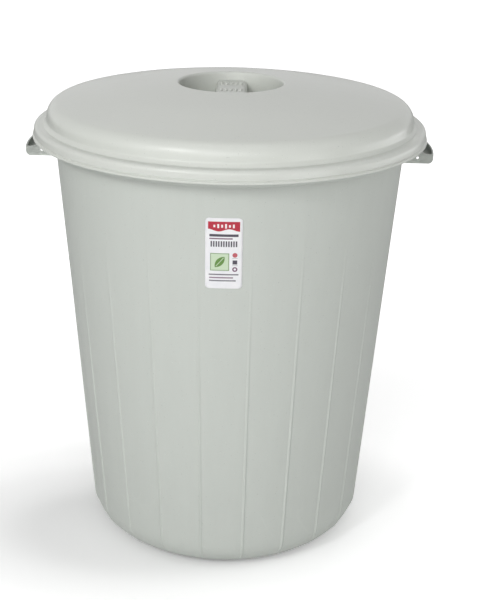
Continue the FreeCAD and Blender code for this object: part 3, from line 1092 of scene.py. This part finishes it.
class Print:
    """Shapes printed on the label, in millimetres across and up from its middle."""

    def __init__(self, bench, across, up, paper):
        self.bench = bench
        self.across = across
        self.up = up
        self.colour = paper

    def ink(self, distance, colour, strength=1.0):
        """Lays a colour where a distance in millimetres is below zero, with a soft edge."""
        cover = self.bench.span(distance, PRINT_EDGE, -PRINT_EDGE, 0.0, strength)
        self.colour = self.bench.mixed(cover, self.colour, (*colour, 1.0))

    def off_line(self, position, centre, half):
        """Distance past a band about a centre."""
        away = self.bench.math("ABSOLUTE", self.bench.math("SUBTRACT", position, centre))
        return self.bench.math("SUBTRACT", away, half)

    def bar(self, centre, width, height):
        return self.both(
            self.off_line(self.across, centre[0], width / 2),
            self.off_line(self.up, centre[1], height / 2),
        )

    def disc(self, centre, radius):
        x = self.bench.math("SUBTRACT", self.across, centre[0])
        y = self.bench.math("SUBTRACT", self.up, centre[1])
        return self.bench.math("SUBTRACT", self.bench.length(x, y), radius)

    def ring(self, centre, radius, width):
        off_edge = self.bench.math("ABSOLUTE", self.disc(centre, radius))
        return self.bench.math("SUBTRACT", off_edge, width / 2)

    def both(self, first, second):
        """Distance past the part that two shapes share."""
        return self.bench.math("MAXIMUM", first, second)


def print_heading(sheet):
    """Red band with a wavy lower edge and a row of white strokes."""
    wave = sheet.bench.math("SINE", sheet.bench.math("MULTIPLY", sheet.across, 2 * math.pi / WAVE_LENGTH))
    lower_edge = sheet.bench.math("MULTIPLY_ADD", wave, WAVE_HEIGHT, HEADING_FOOT)
    below = sheet.bench.math("SUBTRACT", lower_edge, sheet.up)
    sheet.ink(sheet.both(sheet.bar(HEADING_PLACE, *HEADING_SIZE), below), HEADING_RED)
    for index, height in enumerate(STROKE_HEIGHTS):
        place = (index - (len(STROKE_HEIGHTS) - 1) / 2) * STROKE_PITCH
        sheet.ink(sheet.bar((place, STROKE_LEVEL), STROKE_WIDTH, height), STROKE_WHITE)


def print_rules(sheet, rules):
    """Straight rules in their inks."""
    for place, size, colour, strength in rules:
        sheet.ink(sheet.bar(place, *size), colour, strength)


def print_ticks(sheet):
    """Even row of upright dark strokes."""
    phase = sheet.bench.math("WRAP", sheet.across, TICK_PITCH / 2, -TICK_PITCH / 2)
    row = sheet.bar((0, TICK_LEVEL), TICK_COUNT * TICK_PITCH, TICK_HEIGHT)
    sheet.ink(sheet.both(sheet.off_line(phase, 0, TICK_WIDTH / 2), row), DARK_INK, strength=0.95)


def print_leaf(sheet, centre, length, width):
    """Leaf between two arcs, leaning to the right, with a pale vein."""
    bend = (length ** 2 + width ** 2) / (4 * width)
    shift = bend - width / 2
    side = (math.sin(LEAF_LEAN) * shift, -math.cos(LEAF_LEAN) * shift)
    upper = sheet.disc((centre[0] + side[0], centre[1] + side[1]), bend)
    lower = sheet.disc((centre[0] - side[0], centre[1] - side[1]), bend)
    sheet.ink(sheet.both(upper, lower), LEAF_GREEN)
    slope = math.tan(LEAF_LEAN)
    climb = sheet.bench.math("MULTIPLY_ADD", sheet.across, -slope, sheet.up)
    vein = sheet.off_line(climb, centre[1] - slope * centre[0], VEIN_WIDTH / 2)
    sheet.ink(sheet.both(vein, sheet.disc(centre, length * VEIN_LENGTH_SHARE / 2)), PALE_GREEN)


def print_leaf_panel(sheet, centre, size):
    """Pale green square with a green edge, and the leaf on it."""
    edged = size + 2 * LEAF_PANEL_EDGE
    sheet.ink(sheet.bar(centre, edged, edged), LEAF_GREEN, strength=0.85)
    sheet.ink(sheet.bar(centre, size, size), PALE_GREEN)
    print_leaf(sheet, centre, size * LEAF_LENGTH_SHARE, size * LEAF_WIDTH_SHARE)


def print_side_marks(sheet, across):
    """Column of small marks: a red disc, a dark block and a plum ring, with lines between them."""
    sheet.ink(sheet.disc((across, SIDE_DISC_LEVEL), SIDE_DISC_RADIUS), HEADING_RED, strength=0.9)
    sheet.ink(sheet.bar((across, SIDE_BLOCK_LEVEL), *SIDE_BLOCK_SIZE), DARK_INK, strength=0.95)
    ring = sheet.ring((across, SIDE_RING_LEVEL), SIDE_RING_RADIUS, SIDE_RING_WIDTH)
    sheet.ink(ring, PLUM_INK, strength=0.95)
    for level in SIDE_LINE_LEVELS:
        sheet.ink(sheet.bar((across, level), *SIDE_LINE_SIZE), DARK_INK, strength=0.4)


def make_label_film():
    """White printed film with a red heading, dark rules and strokes, and a green leaf panel."""
    material, bench, shader = new_material("label_film_finish")
    x, y, z = bench.place()
    across = bench.math("MULTIPLY_ADD", x, 1 / MM, -LABEL_OFFSET)
    rise = bench.math("SUBTRACT", z, LABEL_MIDDLE * MM)
    up = bench.math("MULTIPLY", rise, 1 / (MM * math.cos(WALL_LEAN)))
    place = bench.joined(x, y, z)
    paper_tone = bench.span(bench.noise(place, scale=90.0, detail=3.0), start=0.3, end=0.7)
    sheet = Print(bench, across, up, bench.mixed(paper_tone, *[(*tone, 1.0) for tone in PAPER_TONES]))
    print_heading(sheet)
    print_rules(sheet, UPPER_RULES)
    print_ticks(sheet)
    print_leaf_panel(sheet, LEAF_PANEL_PLACE, LEAF_PANEL_SIZE)
    print_side_marks(sheet, SIDE_MARKS_PLACE)
    print_rules(sheet, LOWER_RULES)
    film_height = bench.noise(place, scale=220.0, detail=2.0)
    bench.feed_all(
        shader,
        Base_Color=sheet.colour,
        Roughness=bench.span(paper_tone, start=0.0, end=1.0, low=0.3, high=0.38),
        Normal=bench.relief(film_height, strength=0.3, distance=0.08),
    )
    return material


def make_floor_finish():
    """Pale surface that the camera sees as white, with a glow that is painted light: it grows away from a
    place, so the bin's shadow shows only near it.
    """
    material, bench, shader = new_material("pale_floor")
    seen = bench.add("LightPath").outputs["Is Camera Ray"]
    colours = [(tone, tone, tone, 1) for tone in (FLOOR_COLOUR, FLOOR_SEEN)]
    x, y = bench.place()[:2]
    across = bench.math("SUBTRACT", x, FLOOR_GLOW_CENTRE[0])
    back = bench.math("MULTIPLY", bench.math("SUBTRACT", y, FLOOR_GLOW_CENTRE[1]), FLOOR_GLOW_DEPTH)
    away = bench.length(across, back)
    glow = FLOOR_GLOW
    for start, end, rise in FLOOR_RISES:
        glow = bench.math("ADD", glow, bench.smooth_span(away, start, end, 0.0, rise))
    bench.feed_all(
        shader,
        Base_Color=bench.mixed(seen, *colours),
        Roughness=FLOOR_ROUGHNESS,
        Specular_IOR_Level=0,
        Emission_Color=WHITE,
        Emission_Strength=bench.math("MULTIPLY", seen, glow),
    )
    return material


def make_floor():
    """Wide pale floor just under the bin's foot ring."""
    work = bmesh.new()
    bmesh.ops.create_grid(work, x_segments=8, y_segments=8, size=FLOOR_HALF_SIZE)
    mesh = bpy.data.meshes.new("floor")
    work.to_mesh(mesh)
    work.free()
    mesh.materials.append(make_floor_finish())
    floor = bpy.data.objects.new("floor", mesh)
    bpy.context.scene.collection.objects.link(floor)
    floor.location.z = -FLOOR_DROP


def make_world():
    """Even light all round, seen as white."""
    world = bpy.data.worlds.new("studio")
    bpy.context.scene.world = world
    world.use_nodes = True
    bench = Bench(world.node_tree)
    rays = bench.add("LightPath").outputs
    mirrored = bench.math("MAXIMUM", rays["Is Glossy Ray"], rays["Is Transmission Ray"])
    seen = bench.math("MAXIMUM", rays["Is Camera Ray"], mirrored)
    strength = bench.span(seen, 0.0, 1.0, ROOM_LIGHT, 1.0)
    bench.feed_all(world.node_tree.nodes["Background"], Color=WHITE, Strength=strength)


def add_area_light(name, place, target, width, height, power):
    """Rectangular lamp that faces its target."""
    data = bpy.data.lights.new(name, "AREA")
    data.shape = "RECTANGLE"
    data.size = width
    data.size_y = height
    data.energy = power
    light = bpy.data.objects.new(name, data)
    bpy.context.scene.collection.objects.link(light)
    light.location = place
    light.rotation_euler = (Vector(target) - Vector(place)).to_track_quat("-Z", "Y").to_euler()


set_camera()

plastic_groups = (make_flow_marks(), make_flecks(), make_mould_skin(), make_handling_marks(), make_painted_shade_and_darkening())
tub_plastic = moulded_plastic("tub_plastic_finish", plastic_groups, TUB_FINISH)
lid_plastic = moulded_plastic("lid_plastic_finish", plastic_groups, LID_FINISH)
label_film = make_label_film()

make_tub(tub_plastic)
make_lid(lid_plastic)
make_grip(lid_plastic)
make_label(label_film)
make_grip_studs(lid_plastic)
make_handle("handle_loop_right", 1, tub_plastic, "handle_cheeks_right", "handle_strap_right")
make_handle("handle_loop_left", -1, tub_plastic, "handle_cheeks_left", "handle_strap_left")

make_floor()
make_world()
for lamp in LAMPS:
    add_area_light(*lamp)
bpy.context.scene.view_settings.view_transform = "Standard"
